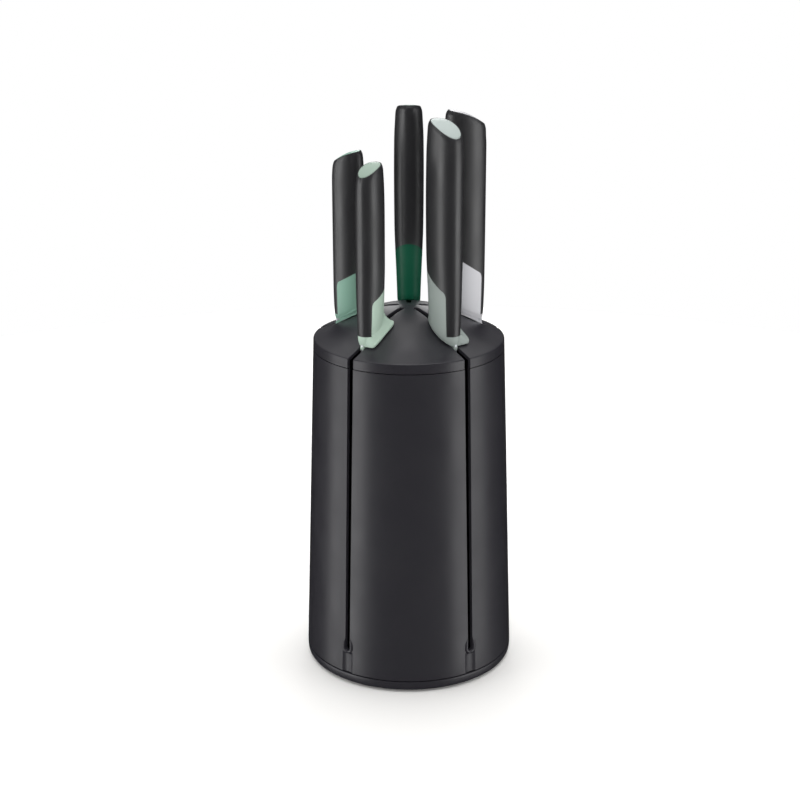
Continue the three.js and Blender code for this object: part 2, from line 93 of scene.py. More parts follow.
# %% One recipe for moulded finishes
def moulded(name, colour, roughness, pit, depth, shade=0.06, specular=0.5, patchy=0.05, **extra):
    """A moulded plastic or rubber. pit and depth are the size and height of its texture in mm."""
    made = bpy.data.materials.new(name)
    made.use_nodes = True
    tree = made.node_tree
    tree.nodes.clear()
    place = add_node(tree, "ShaderNodeTexCoord").outputs["Object"]
    pits = add_node(tree, "ShaderNodeTexNoise", {"Scale": per_mm(pit), "Detail": 2.0, "Roughness": 0.6},
                    {"Vector": place})
    patches = add_node(tree, "ShaderNodeTexNoise", {"Scale": per_mm(22), "Detail": 3.0}, {"Vector": place})
    sheen = add_node(tree, "ShaderNodeMapRange",
                     {"From Min": 0.3, "From Max": 0.7, "To Min": roughness - patchy,
                      "To Max": roughness + patchy}, {"Value": patches.outputs["Fac"]})
    speckle = add_node(tree, "ShaderNodeMath", {"operation": "MULTIPLY_ADD", 1: 0.06},
                       {0: pits.outputs["Fac"], 2: sheen.outputs["Result"]})
    dark, light = [tuple(c * (1 + sign * shade) for c in linear(colour)[:3]) + (1,) for sign in (-1, 1)]
    tint = add_node(tree, "ShaderNodeMix", {"data_type": "RGBA", 6: dark, 7: light},
                    {0: pits.outputs["Fac"]})
    bump = add_node(tree, "ShaderNodeBump", {"Strength": 1.0, "Distance": depth * MM},
                    {"Height": pits.outputs["Fac"]})
    shader = add_node(tree, "ShaderNodeBsdfPrincipled", {"IOR": 1.5, "Specular IOR Level": specular, **extra},
                      {"Base Color": tint.outputs[2], "Roughness": speckle.outputs[0],
                       "Normal": bump.outputs["Normal"]})
    add_node(tree, "ShaderNodeOutputMaterial", links={"Surface": shader.outputs[0]})
    return made


# %% The plastics of the block
# ABS from a finely spark-eroded mould: dark, even, with a soft highlight.
block_abs = moulded("moulded_abs_black", "#28272c", 0.34, 0.45, 0.008, specular=0.6)
# Polypropylene, inside the block: plain and dull.
inner_pp = moulded("moulded_polypropylene_black", "#141416", 0.6, 0.6, 0.015, specular=0.3)
# Acetal: hard, waxy and naturally white, which is why it runs well under the turntable.
acetal = moulded("acetal_natural", "#d9d8d2", 0.32, 0.8, 0.004, shade=0.02)
# Rubber from a plain mould: grips the worktop and hardly reflects.
foot_rubber = moulded("moulded_rubber_black", "#131314", 0.82, 0.6, 0.03, specular=0.25)

# %% The plastics of the knives
# Thermoplastic rubber moulded over the handle: its skin is finely grained and softly shiny.
soft_grip = moulded("overmoulded_soft_rubber", "#262628", 0.4, 0.35, 0.006, specular=0.95)
# Polypropylene coloured through; each knife has its own colour, so that it is found at a glance.
# The caps are polished glossier than the bolsters. A knife's bolster and cap share one plastic, and their colours
# differ only as painted light and shade: each part is lighter or darker to match how light falls on it.
# Painted light and shade: each knife's bolster and cap are lighter and darker copies of one colour, and the santoku's
# bolster is painted darker than its cap as painted shade on its shaded side.
BOLSTER_COLOURS_PAINTED_LIGHT = {"paring": "#b2c8b8", "utility": "#7fa594", "bread": "#145a42", "chefs": "#c8c8cc",
                   "santoku": "#959e9a"}
CAP_COLOURS_PAINTED_LIGHT = {"paring": "#8c9f92", "utility": "#7a9f8e", "bread": "#145a42", "chefs": "#b4b4b8",
               "santoku": "#a5afac"}


def knife_plastics(part, colours, roughness):
    return {knife: moulded(f"moulded_polypropylene_{knife}_{part}", code, roughness, 0.5, 0.008, shade=0.02,
                           specular=0.4) for knife, code in colours.items()}


bolster_pp = knife_plastics("bolster", BOLSTER_COLOURS_PAINTED_LIGHT, 0.4)
cap_pp = knife_plastics("cap", CAP_COLOURS_PAINTED_LIGHT, 0.32)
print("moulded finishes:", len(bpy.data.materials))

# %% [markdown]
# ## Metals
# A kitchen blade is ground on a wide belt and then brushed, so fine lines run across it from spine to edge.
# The lines are too fine to model. A noise squeezed along the blade's length gives the same streaks,
# in the roughness, where they break up reflections, and in a very shallow bump.
# Screws and washers are steel with a thin coat of zinc: greyer, and faintly mottled by the crystals.

# %% Metal recipes
def metal(name, colour, roughness, stretch, spread, depth, metallic=1.0):
    """A bare metal whose noise is stretched along X, Y and Z by the three sizes in mm."""
    made = bpy.data.materials.new(name)
    made.use_nodes = True
    tree = made.node_tree
    tree.nodes.clear()
    place = add_node(tree, "ShaderNodeTexCoord").outputs["Object"]
    squeezed = add_node(tree, "ShaderNodeMapping", {"Scale": [per_mm(size) for size in stretch]},
                        {"Vector": place})
    lines = add_node(tree, "ShaderNodeTexNoise", {"Scale": 1.0, "Detail": 3.0},
                     {"Vector": squeezed.outputs["Vector"]})
    gloss = add_node(tree, "ShaderNodeMapRange",
                     {"From Min": 0.3, "From Max": 0.7, "To Min": roughness - spread,
                      "To Max": roughness + spread}, {"Value": lines.outputs["Fac"]})
    dark, light = [tuple(min(1, c * k) for c in linear(colour)[:3]) + (1,) for k in (0.9, 1.08)]
    tint = add_node(tree, "ShaderNodeMix", {"data_type": "RGBA", 6: dark, 7: light},
                    {0: lines.outputs["Fac"]})
    bump = add_node(tree, "ShaderNodeBump", {"Strength": 1.0, "Distance": depth * MM},
                    {"Height": lines.outputs["Fac"]})
    shader = add_node(tree, "ShaderNodeBsdfPrincipled", {"Metallic": metallic},
                      {"Base Color": tint.outputs[2], "Roughness": gloss.outputs["Result"],
                       "Normal": bump.outputs["Normal"]})
    add_node(tree, "ShaderNodeOutputMaterial", links={"Surface": shader.outputs[0]})
    return made


# Martensitic stainless steel, belt ground across the blade: lines 0.35 mm apart and about 30 mm long.
# The finest lines throw light about as a dull surface does, so the steel isn't quite fully metallic.
blade_steel = metal("stainless_steel_belt_ground", "#c6c9cd", 0.32, (30, 30, 0.35), 0.035, 0.0012, 0.8)
# Steel with a bright zinc coat: mottled in patches of about 1.5 mm.
zinc_steel = metal("steel_zinc_plated", "#aeb2b8", 0.36, (1.5, 1.5, 1.5), 0.08, 0.004)

# %% [markdown]
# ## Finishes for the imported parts
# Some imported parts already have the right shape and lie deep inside: the floor, the screws, the guide.
# They keep their meshes, and each one's material slots are filled by the record's slot names.
# The parts that a finer piece replaces later get a finish too, so that nothing is left plain.

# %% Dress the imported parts
FINISH_OF_SLOT = {
    "block_plastic": block_abs, "inner_plastic": inner_pp, "soft_grip": soft_grip, "blade_steel": blade_steel,
    "zinc_steel": zinc_steel, "acetal": acetal, "rubber_foot": foot_rubber,
    **{f"{knife}_colour": finish for knife, finish in bolster_pp.items()},
}
for subpart in frame["record"]["subparts"]:
    mesh = frame["nodes"][subpart["node"]].data
    mesh.materials.clear()
    mesh.materials.append(FINISH_OF_SLOT[subpart["material_slot"]])

# %% [markdown]
# ## From a working mesh to a finished piece
# Every new piece is worked in millimetres around the block's axis, which keeps the numbers readable.
# One function ends the work: it merges doubles, turns the faces outwards, scales to metres,
# shades the surface smooth except at its edges, and puts the piece on the body that carries it.

# %% Finish and place a piece
def finish_piece(work, name, body, finish, slot, replaces=(), sharp=38):
    """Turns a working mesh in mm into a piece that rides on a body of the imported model."""
    bmesh.ops.remove_doubles(work, verts=work.verts, dist=0.004)
    bmesh.ops.recalc_face_normals(work, faces=work.faces)
    bmesh.ops.scale(work, vec=(MM, MM, MM), verts=work.verts)
    mesh = bpy.data.meshes.new(name)
    work.to_mesh(mesh)
    work.free()
    mesh.polygons.foreach_set("use_smooth", [True] * len(mesh.polygons))
    mesh.set_sharp_from_angle(angle=math.radians(sharp))
    mesh.materials.append(finish)
    piece = bpy.data.objects.new(name, mesh)
    bpy.context.scene.collection.objects.link(piece)
    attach(piece, body)
    if replaces:
        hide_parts(*replaces)
    size = [round(float(d) * 1000, 1) for d in piece.dimensions]
    print(f"{name}: {len(mesh.polygons)} faces, {size} mm")
    return piece


def follow(points, x):
    """A smooth curve through [x, y] points, without overshoot, read at x."""
    if x <= points[0][0]:
        return points[0][1]
    if x >= points[-1][0]:
        return points[-1][1]
    i = max(k for k in range(len(points) - 1) if points[k][0] <= x)
    slopes = [(b[1] - a[1]) / (b[0] - a[0]) for a, b in zip(points, points[1:])]

    def tangent(k):
        if k == 0 or k == len(points) - 1:
            return slopes[min(k, len(slopes) - 1)]
        before, after = slopes[k - 1], slopes[k]
        return 0 if before * after <= 0 else 2 * before * after / (before + after)

    (x0, y0), (x1, y1) = points[i], points[i + 1]
    span = x1 - x0
    t = (x - x0) / span
    return (y0 * (1 + 2 * t) * (1 - t) ** 2 + y1 * t * t * (3 - 2 * t)
            + span * t * (1 - t) * (tangent(i) * (1 - t) - tangent(i + 1) * t))


def fade(x, start, end):
    """0 at start, 1 at end, with a soft ease between them, whichever is larger."""
    t = max(0, min(1, (x - start) / (end - start)))
    return t * t * (3 - 2 * t)


# %% [markdown]
# ## The sizes the pieces share
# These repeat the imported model's own dimensions, in millimetres, so that each finer piece fits where
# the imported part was. The block is a cone: it narrows from 68.7 mm at its foot to 61.6 mm at its rim.
# The knives' azimuths are counted from the front of the block, towards +X.

# %% Shared sizes
FOOT_R, FOOT_Z, RIM_R, RIM_Z = 68.7, 7.9, 61.6, 220.6
SHELL_TOP, LID_BOTTOM = 214.12, 214.62
WALL = 2.4
AZIMUTHS = {"paring": -36, "utility": -108, "bread": 180, "chefs": 108, "santoku": 36}
SECTOR = math.radians(36)  # half the angle between neighbouring knives


def body_radius(z):
    return FOOT_R - (FOOT_R - RIM_R) * (z - FOOT_Z) / (RIM_Z - FOOT_Z)


def turned_to(azimuth):
    """The turn that brings a piece made along +X to a knife's azimuth."""
    return Matrix.Rotation(math.radians(azimuth - 90), 3, "Z")


# %% [markdown]
# ## The block's shell
# The shell is one moulded part: a tapered tube with five long slots that are open at the top.
# Each slot ends in a flared, rounded lip, and a shallow thumb-wide channel runs on below it to the foot.
# Cutting slots out of a finished tube would leave ragged facets beside them, just where highlights fall.
# So one fifth of the wall starts as a flat grid whose columns follow the slot's U and whose rows step
# away from it. The grid is bent into place, given its thickness, and copied round five times.

# %% Lay out the grid of one shell sector
SLOT_FOOT_CENTRE, SLOT_FOOT_HALF, SLOT_TOP_HALF = 25.25, 1.75, 2.05
leg_heights = [SHELL_TOP - 0.45, 205, 190, 172, 154, 136, 118, 100, 84, 70, 58, 50, 44, 40, 37, 34.5, 32.5,
               31, 29.5, 28.2, 27, 26]
leg_heights = [SHELL_TOP, SHELL_TOP - 0.15] + leg_heights
arc_angles = [0, 3, 6, 9, 12, 15, 18, 22, 26, 31, 35.5, 40, 45, 50, 55, 60, 65, 70, 75, 80, 85, 90]
LIP_ROWS = [(0, 1, 0), (0.09, 0.3, 0.5), (0.25, 0, 0.87), (0.5, 0, 1), (0.74, 0, 0.87), (0.92, 0, 0.42), (1, 0, 0)]
NEAR_ROWS = [0.4, 0.9, 1.5, 2.2, 3.0, 4.0]
FAR_ROWS = [k / 13 for k in range(1, 14)]


def shell_lip(z):
    """The slot's rounded edge: its width, its depth, and the height of the bead that rings the foot."""
    bead = fade(z, 33, 27.5)
    return 0.4 + 2.1 * bead, 0.3, 0.85 * bead


def shell_point(station, row):
    """Where a grid point goes on the unrolled wall: across it, up it, and how far it sinks in."""
    side, z, angle = station
    half = SLOT_FOOT_HALF + (SLOT_TOP_HALF - SLOT_FOOT_HALF) * fade(z, SLOT_FOOT_CENTRE, RIM_Z)
    width, depth, bead = shell_lip(z)
    far = max(0, row - len(LIP_ROWS) - len(NEAR_ROWS) + 1)
    near = min(row, len(LIP_ROWS) + len(NEAR_ROWS) - 1)
    if near < len(LIP_ROWS):
        share, edge, crown = LIP_ROWS[near]
        reach, sink = half + share * width, edge * depth - crown * bead
    else:
        reach, sink = half + width + NEAR_ROWS[near - len(LIP_ROWS)], 0
    turn = math.radians(angle)
    across, up = reach * math.cos(turn), z - reach * math.sin(turn)
    level = z + (FOOT_Z - z) * min(1, angle / 18)
    border = body_radius(level) * SECTOR
    if angle <= 18:
        target = border, level
    elif angle <= 40:
        target = border + (5.4 - border) * (angle - 18) / 22, FOOT_Z
    else:
        target = 5.4 * (90 - angle) / 50, FOOT_Z
    share = FAR_ROWS[far - 1] if far else 0
    return side * (across + (target[0] - across) * share), up + (target[1] - up) * share, sink


# %% Bend, thicken and repeat the sector
stations = [(-1, z, 0) for z in leg_heights] + [(-1, SLOT_FOOT_CENTRE, a) for a in arc_angles]
stations += [(1, z, a) for _, z, a in reversed(stations[:-1])]
rows = len(LIP_ROWS) + len(NEAR_ROWS) + len(FAR_ROWS)


def grid_sheet(columns, levels, put, layer=None):
    """A flat grid whose every point is then put in place by its column and level."""
    work = bmesh.new()
    kept = work.verts.layers.float.new(layer) if layer else None
    bmesh.ops.create_grid(work, x_segments=columns - 1, y_segments=levels - 1, size=0.5)
    for vert in work.verts:
        column = round((vert.co.x + 0.5) * (columns - 1))
        level = round((vert.co.y + 0.5) * (levels - 1))
        x, y, z, value = put(column, level)
        vert.co = (x, y, z)
        if layer:
            vert[kept] = value
    return work


def shell_place(column, level):
    across, up, sink = shell_point(stations[column], level)
    # The unrolled wall goes round the cone: arc length over radius is the angle.
    radius = body_radius(up)
    angle = across / radius
    if abs(across) > 0.999 * radius * SECTOR:
        angle = math.copysign(SECTOR, across)
    return radius * math.cos(angle), radius * math.sin(angle), up, sink


def round_the_block(sector):
    """Copies one fifth to each of the five azimuths and joins the copies where they meet."""
    first = sector.verts[:] + sector.edges[:] + sector.faces[:]
    start, *others = [turned_to(azimuth) for azimuth in AZIMUTHS.values()]
    for matrix in others:
        copied = bmesh.ops.duplicate(sector, geom=first)["geom"]
        moved = [part for part in copied if isinstance(part, bmesh.types.BMVert)]
        bmesh.ops.rotate(sector, verts=moved, matrix=matrix)
    moved = [part for part in first if isinstance(part, bmesh.types.BMVert)]
    bmesh.ops.rotate(sector, verts=moved, matrix=start)
    bmesh.ops.remove_doubles(sector, verts=sector.verts, dist=0.02)
    bmesh.ops.recalc_face_normals(sector, faces=sector.faces)


def thicken(sheet, wall):
    """Gives an open sheet its wall, on the side that faces the block's axis."""
    top = max(sheet.faces, key=lambda face: face.calc_center_median().z)
    bottom = min(sheet.faces, key=lambda face: face.calc_center_median().z)
    middle = bottom.calc_center_median()
    if bottom.normal.x * middle.x + bottom.normal.y * middle.y < 0:
        bmesh.ops.reverse_faces(sheet, faces=sheet.faces)
    bmesh.ops.solidify(sheet, geom=sheet.faces[:], thickness=wall)
    print("sheet with its wall:", len(sheet.faces), "faces, top at", round(top.calc_center_median().z, 1))


shell = grid_sheet(len(stations), rows, shell_place, "sink")
round_the_block(shell)
thicken(shell, WALL)

# %% Sink the lips and channels into the outer face
CHANNEL_HALF, CHANNEL_DEPTH = 4.3, 1.15


def across_slot(vert):
    """Distance from the middle plane of the nearest slot, in mm."""
    step = 2 * SECTOR
    first = math.radians(list(AZIMUTHS.values())[0] - 90)
    angle = (math.atan2(vert.co.y, vert.co.x) - first + step / 2) % step - step / 2
    return math.hypot(vert.co.x, vert.co.y) * math.sin(angle)


sunk = shell.verts.layers.float["sink"]
for vert in shell.verts:
    radius = math.hypot(vert.co.x, vert.co.y)
    outer = body_radius(vert.co.z)
    if radius < outer - WALL / 2:
        continue
    share = min(1, abs(across_slot(vert)) / CHANNEL_HALF)
    channel = CHANNEL_DEPTH * (1 - share ** 2) * fade(vert.co.z, 22.8, 20.6)
    kept = (outer - vert[sunk] - channel) / radius
    vert.co.x *= kept
    vert.co.y *= kept
finish_piece(shell, "block_shell", "carousel", block_abs, "block_plastic", ["carousel_shell"])

# %% [markdown]
# ## The lid
# The lid is a second moulding: a shallow tent with a crisp rim and a short straight skirt.
# A hair's gap between the skirt and the shell shows as a fine dark seam.
# It is made as the shell is, from one fifth that carries one slot. Here the grid's columns follow the slot
# from the skirt, over the rim and round its inner end, and its rows fan out to the next fifth,
# so every column near the peak closes in on one point.

# %% The lid's height, and the columns of its grid
LID_CURVE = [[0, 241.8], [8, 241.1], [16, 239.9], [24, 238], [37, 231.6], [50, 224.9], [57.9, 222],
             [60.95, 220.95]]
SLOT_END_CENTRE, SLOT_END_HALF = 8.0, 1.6
LID_WALL = 2.2
skirt = [(body_radius(z), z) for z in (LID_BOTTOM, LID_BOTTOM + 0.12, LID_BOTTOM + 0.4, 216, 218, 219.4)]
rim_edge = [(61.63, 220.0), (61.6, 220.25), (61.5, 220.5), (61.33, 220.7), (61.1, 220.86)]
lid_radii = [60.7, 60, 58.8, 57, 55, 53, 51, 49, 46.5, 44, 41, 38, 35, 32, 29, 26, 23.5, 21, 19, 17, 15, 13.5,
             12, 11, 10, 9.2, 8.6]
lid_legs = skirt + rim_edge + [(radius, follow(LID_CURVE, radius)) for radius in lid_radii]
lid_arcs = [0, 10, 20, 30, 40, 50, 60, 70, 80, 90]
EDGE_ROWS = [(0, 0.34), (0.05, 0.19), (0.16, 0.07), (0.34, 0), (0.6, 0), (1.0, 0), (1.5, 0)]
FAN_ROWS = [k / 12 for k in range(1, 13)]
lid_stations = [(-1, radius, z, None) for radius, z in lid_legs] + [(-1, 0, 0, angle) for angle in lid_arcs]
lid_stations += [(1, *station[1:]) for station in reversed(lid_stations[:-1])]


def lid_place(column, level):
    """A point of the lid's grid, and how far the slot's rounded edge sinks there."""
    side, radius, z, angle = lid_stations[column]
    away, sink = EDGE_ROWS[min(level, len(EDGE_ROWS) - 1)]
    share = FAN_ROWS[level - len(EDGE_ROWS)] if level >= len(EDGE_ROWS) else 0
    if angle is None:
        half = SLOT_END_HALF + (SLOT_TOP_HALF - SLOT_END_HALF) * (radius - SLOT_END_CENTRE) / 53.6
        turn = math.asin((half + away) / radius)
        turn += (SECTOR - turn) * share
        return radius * math.cos(turn), side * radius * math.sin(turn), z, sink
    bend = math.radians(angle)
    x = SLOT_END_CENTRE - (SLOT_END_HALF + away) * math.sin(bend)
    y = (SLOT_END_HALF + away) * math.cos(bend)
    border = SLOT_END_CENTRE * (1 - angle / 90)
    x += (border * math.cos(SECTOR) - x) * share
    y += (border * math.sin(SECTOR) - y) * share
    return x, side * y, follow(LID_CURVE, math.hypot(x, y)), sink


# %% Make the lid
lid = grid_sheet(len(lid_stations), len(EDGE_ROWS) + len(FAN_ROWS), lid_place, "sink")
round_the_block(lid)
thicken(lid, LID_WALL)
sunk = lid.verts.layers.float["sink"]
for vert in lid.verts:
    radius = math.hypot(vert.co.x, vert.co.y)
    on_skirt = vert.co.z < 220.3 and radius > body_radius(vert.co.z) - 0.6
    on_top = vert.co.z > follow(LID_CURVE, radius) - 0.9 and not on_skirt
    if on_skirt:
        vert.co.x *= 1 - vert[sunk] / radius
        vert.co.y *= 1 - vert[sunk] / radius
    elif on_top:
        vert.co.z -= vert[sunk]
finish_piece(lid, "block_lid", "carousel", block_abs, "block_plastic", ["top_lid"])

# %% [markdown]
# ## The base and its rubber ring
# The base stays still while the block turns: a low ring under a fine seam, with a plate that carries the pivot.
# It is round all over, so one profile is drawn and spun about the axis.
# The underside carries a soft rubber ring in a groove, which keeps the block from walking on the worktop.

# %% Spin a profile
def spun(profile, steps):
    """A closed round shape from a closed profile of radius and height."""
    work = bmesh.new()
    points = [work.verts.new((radius, 0, z)) for radius, z in profile]
    edges = [work.edges.new(pair) for pair in zip(points, points[1:])]
    if profile[0][0] > 0:
        edges.append(work.edges.new((points[-1], points[0])))
    bmesh.ops.spin(work, geom=points + edges, axis=(0, 0, 1), cent=(0, 0, 0), angle=2 * math.pi,
                   steps=steps, use_merge=True)
    return work


# %% Make the base
base = spun([(0, 1), (7, 1), (54.4, 1), (55.4, 1), (55.7, 1.2), (55.7, 2.1), (63.3, 2.1), (63.3, 1.2), (63.6, 1),
             (66.6, 1), (67.3, 1.1), (67.75, 1.45), (68.15, 2.1), (68.45, 3), (68.62, 4.2), (68.68, 5.6),
             (68.7, 6.7), (68.62, 6.96), (68.4, 7.08), (64.2, 7.1), (64.2, 4.2), (50, 4.2), (50, 5.2), (44, 5.2),
             (44, 4.2), (7, 4.2), (7, 12.7), (6.8, 12.9), (1.7, 12.9), (1.7, 4.2), (0, 4.2)], 144)
finish_piece(base, "base_ring", "base", block_abs, "block_plastic", ["stationary_base"])

# %% Make the rubber ring
# Two shallow rings pressed into its sole give the rubber an edge to grip with.
sole = spun([(56, 1.8), (56, 0.3), (56.3, 0.02), (57.9, 0), (58.1, 0.4), (58.5, 0.4), (58.7, 0), (60.3, 0),
             (60.5, 0.4), (60.9, 0.4), (61.1, 0), (62.7, 0.02), (63, 0.3), (63, 1.8)], 144)
finish_piece(sole, "rubber_ring", "base", foot_rubber, "rubber_foot", ["non_slip_ring"])

# %% [markdown]
# ## The knife handles
# Each handle is two materials on one flowing form: a coloured bolster below, and a black rubber grip that is
# moulded over it and runs down the spine side as a tongue. A coloured oval caps the slanted butt.
# The form is a stack of ovals, so it starts from one circle that is extruded upwards again and again,
# and each new ring is shaped to its own section. The rows between the sections are eased,
# which gives the long swell of the handle without a crease.

# %% The two sizes of handle
# Each section is height of its centre, slope, inner radius, outer radius, half thickness, bow of the surface.
REST_SLOPE = -0.5
LARGE = {
    "axis": 37.4, "seat": 231.85,
    "sections": [(232.4, REST_SLOPE, 25.4, 49.6, 6.6, 0), (235.2, REST_SLOPE, 25.3, 50.2, 7.6, 0),
                 (243, -0.2, 25.3, 50.7, 7.9, 0), (256, 0, 25, 51, 8.4, 0), (270, 0, 24.3, 51, 9, 0),
                 (286, 0, 23.7, 51, 9.5, 0), (318, 0, 23.3, 51, 9.7, 0), (342, -0.1, 23.5, 51, 9.5, 0),
                 (353, -0.3, 24, 50.7, 9, 0.006), (359.2, -0.39, 24.6, 50.5, 8.6, 0.01),
                 (361.9, -0.4, 25.8, 49.8, 7.8, 0.012)],
    "split": (24, 275.5, 44.6, 261.6, 47.1, 256.5), "tongue": 232.4, "inner": 25.8, "neck": 7.4,
}
SMALL = {
    "axis": 40.6, "seat": 230.25,
    "sections": [(230.8, REST_SLOPE, 30.7, 49.7, 5.8, 0), (233.4, REST_SLOPE, 30.6, 50.2, 6.6, 0),
                 (240, -0.2, 30.6, 50.7, 6.9, 0), (250, 0, 30.5, 51, 7.2, 0), (262, 0, 30.3, 51, 7.6, 0),
                 (278, 0, 30, 51, 7.9, 0), (304, 0, 30, 51, 7.9, 0), (320, -0.1, 30.1, 51, 7.7, 0),
                 (329, -0.3, 30.4, 50.8, 7.3, 0.008), (334.2, -0.4, 30.9, 50.4, 6.9, 0.013),
                 (336.6, -0.42, 31.8, 49.6, 6.3, 0.016)],
    "split": (30, 263.4, 44.2, 255.4, 46.8, 250.5), "tongue": 232.4, "inner": 29.4, "neck": 6.4,
}
# Rest: half thickness on the wing side and on the blind side, where it ends towards the rim and towards the
# lid's middle, and its lift off the lid.
# Blade: width, length below the lid, and how far up its edge begins to curve to the tip.
KNIVES = {
    "paring": {"handle": SMALL, "rest": (9.2, 4.8, 49.4, 27, 0), "blade": (21, 90, 34)},
    "utility": {"handle": SMALL, "rest": (6.2, 6.0, 48.8, 29.6, 2.2), "blade": (25, 115, 40)},
    "bread": {"handle": LARGE, "rest": (7.1, 7.0, 49.4, 25.8, 0), "blade": (33, 200, 30)},
    "chefs": {"handle": LARGE, "rest": (7.1, 7.0, 48.8, 25.8, 2.2), "blade": (41, 165, 90)},
    "santoku": {"handle": LARGE, "rest": (12.2, 5.9, 49.4, 23.4, 0), "blade": (41, 140, 36)},
}

# %% Stack rings into a closed form
ROUND = 72


def oval_point(turn, inner, outer, left, right, square=2.1, square_right=2.1):
    """A point of an oval between two radii; higher square numbers make its corners fuller."""
    across, along = math.sin(turn), math.cos(turn)
    power = 2 / (square_right if across > 0 else square)
    radius = (inner + outer) / 2 + (outer - inner) / 2 * math.copysign(abs(along) ** power, along)
    return radius, (right if across > 0 else left) * math.copysign(abs(across) ** power, across)


def stacked(levels, place):
    """Extrudes one ring through every level; place(level, turn) says where each point goes."""
    work = bmesh.new()
    kept = work.verts.layers.float.new("turn")
    ring = bmesh.ops.create_circle(work, cap_ends=False, radius=1, segments=ROUND)["verts"]
    for vert in ring:
        vert[kept] = math.atan2(vert.co.y, vert.co.x)
        vert.co = place(levels[0], vert[kept])
    edges = work.edges[:]
    bmesh.ops.contextual_create(work, geom=edges)
    for level in levels[1:]:
        grown = bmesh.ops.extrude_edge_only(work, edges=edges)["geom"]
        ring = [part for part in grown if isinstance(part, bmesh.types.BMVert)]
        new = set(ring)
        edges = [part for part in grown if isinstance(part, bmesh.types.BMEdge)
                 and part.verts[0] in new and part.verts[1] in new]
        for vert in ring:
            vert.co = place(level, vert[kept])
    bmesh.ops.contextual_create(work, geom=edges)
    bmesh.ops.recalc_face_normals(work, faces=work.faces)
    return work


def eased(sections, steps):
    """The sections with smooth rows between them, as [height, slope, inner, outer, half, bow]."""
    count = len(sections) - 1
    columns = [[(i, section[c]) for i, section in enumerate(sections)] for c in range(6)]
    return [[follow(column, i / steps) for column in columns] for i in range(count * steps + 1)]


# %% The handle form
def handle_form(handle, lift=0, grow=0.0):
    """The whole handle as one closed form, with a shallow seat for the cap in its butt."""
    sections = [list(section) for section in handle["sections"]]
    for section in sections[:2]:
        section[0] += lift
    rows = [(*row, 0, 0) for row in eased(sections, 6)]
    top = sections[-1]
    # The butt's edge rolls in, then the seat drops 1.2 mm inside a rim half a millimetre wide.
    for rise, shrink in ((0.2, 0.14), (0.27, 0.3), (0.22, 0.4), (-1.2, 0.42)):
        rows.append((*top, rise, shrink))

    def place(row, turn):
        z, slope, inner, outer, half, bow, rise, shrink = row
        r, t = oval_point(turn, inner + shrink, outer - shrink, half - shrink, half - shrink)
        out = r - handle["axis"]
        return r, t, z + rise + slope * out - bow * out * out

    return stacked(rows, place)


def end_cap(handle):
    """The coloured oval: it fills the seat, and its face is softly domed."""
    top = handle["sections"][-1]
    rows = [(-1.1, 0.55), (0.1, 0.55), (0.24, 0.62), (0.34, 0.78), (0.42, 1.1), (0.5, 1.7), (0.6, 2.6), (0.72, 4.0),
            (0.8, 5.4)]

    def place(row, turn):
        z, slope, inner, outer, half, bow = top
        rise, shrink = row
        middle, reach = (inner + outer) / 2, (outer - inner) / 2
        keep = 1 - shrink / half
        r, t = oval_point(turn, middle - reach * keep, middle + reach * keep, half * keep, half * keep)
        out = r - handle["axis"]
        return r, t, z + rise + slope * out - bow * out * out

    return stacked(rows, place)


# %% [markdown]
# ## Splitting the handle into bolster and grip
# The border between colour and black is not level: it slants down from the edge side, turns a soft corner
# and drops along the spine side to the foot of the tongue. A flat plate with that outline, passed through
# the handle, gives both parts at once: what lies inside the plate is bolster, what lies outside is grip.
# A Boolean modifier does this cleanly, and its result is taken as a plain mesh.

# %% Plates and Boolean joins
def plate(outline, half):
    """A flat plate of an outline in radius and height, standing across the knife."""
    work = bmesh.new()
    points = [work.verts.new((r, -half, z)) for r, z in outline]
    face = work.faces.new(points)
    grown = bmesh.ops.extrude_face_region(work, geom=[face])["geom"]
    moved = [part for part in grown if isinstance(part, bmesh.types.BMVert)]
    bmesh.ops.translate(work, verts=moved, vec=(0, 2 * half, 0))
    bmesh.ops.recalc_face_normals(work, faces=work.faces)
    return work


def loose_object(work):
    mesh = bpy.data.meshes.new("loose")
    work.to_mesh(mesh)
    made = bpy.data.objects.new("loose", mesh)
    bpy.context.scene.collection.objects.link(made)
    return made


def combined(first, second, operation):
    """UNION, DIFFERENCE or INTERSECT of two closed working meshes, as a new working mesh."""
    one, two = loose_object(first), loose_object(second)
    modifier = one.modifiers.new("join", "BOOLEAN")
    modifier.operation, modifier.solver, modifier.object = operation, "EXACT", two
    ready = one.evaluated_get(bpy.context.evaluated_depsgraph_get())
    mesh = bpy.data.meshes.new_from_object(ready)
    result = bmesh.new()
    result.from_mesh(mesh)
    for made in (one, two):
        spare = made.data
        bpy.data.objects.remove(made)
        bpy.data.meshes.remove(spare)
    bpy.data.meshes.remove(mesh)
    return result


def split_outline(handle, shift=0.0):
    """The bolster's side of the border. The corner is a quarter curve of eight short steps."""
    inner_r, inner_z, corner_r, corner_z, tongue_r, tongue_top = handle["split"]
    slope = (corner_z - inner_z) / (corner_r - inner_r)
    rise = shift * math.hypot(1, slope)
    outline = [(inner_r - 16, 150), (80, 150), (80, handle["tongue"] + shift),
               (tongue_r + shift, handle["tongue"] + shift), (tongue_r + shift, tongue_top)]
    pull_r, pull_z = tongue_r + shift, (tongue_top + corner_z) / 2 + 1.5
    for k in range(1, 9):
        t = k / 8
        outline.append(((1 - t) ** 2 * (tongue_r + shift) + 2 * t * (1 - t) * pull_r + t * t * corner_r,
                        (1 - t) ** 2 * tongue_top + 2 * t * (1 - t) * pull_z + t * t * (corner_z + rise)))
    outline.append((inner_r - 16, inner_z - slope * 16 + rise))
    return outline


